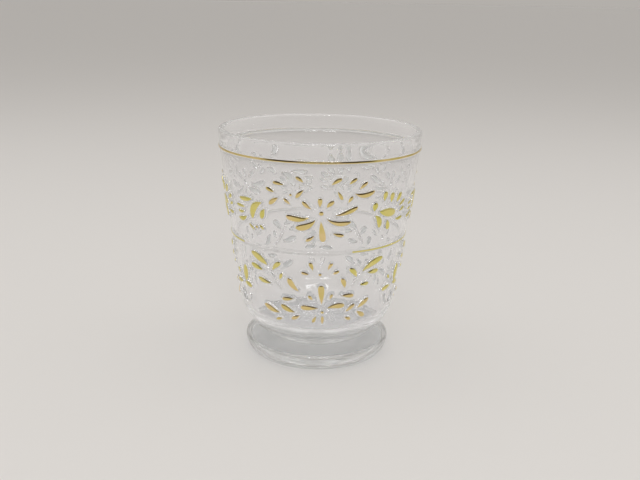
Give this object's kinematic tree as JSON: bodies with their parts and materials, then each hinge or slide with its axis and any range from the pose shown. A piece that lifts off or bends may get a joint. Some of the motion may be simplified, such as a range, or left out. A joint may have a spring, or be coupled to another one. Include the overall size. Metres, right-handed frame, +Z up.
{
  "type": "plastic tumbler",
  "caption": "Clear plastic footed tumbler with a round-bottomed bowl, a disc foot, and raised floral ornament stamped with gold foil.",
  "frame": {"origin": "centre of the base, on the table", "axes": "+Z up along the tumbler's axis, -Y towards the front flower"},
  "size_m": [0.0864, 0.0864, 0.0988],
  "materials": {
    "clear_plastic": "clear, polished as moulded",
    "gold_foil": "hot-stamped gold foil, gold outside and silver inside"
  },
  "bodies": {
    "root": {"bowl": "clear_plastic", "foot": "clear_plastic", "rim_line_foil": "gold_foil", "waist_line_foil": "gold_foil", "flower_petal_foil": "gold_foil", "arch_leaf_foil": "gold_foil", "thistle_head_foil": "gold_foil", "thistle_ray_foil": "gold_foil", "lily_petal_foil": "gold_foil", "lily_crown_foil": "gold_foil", "lily_leaf_foil": "gold_foil", "sprig_leaf_foil": "gold_foil", "bud_petal_foil": "gold_foil", "dot_foil": "gold_foil"}
  },
  "joints": []
}
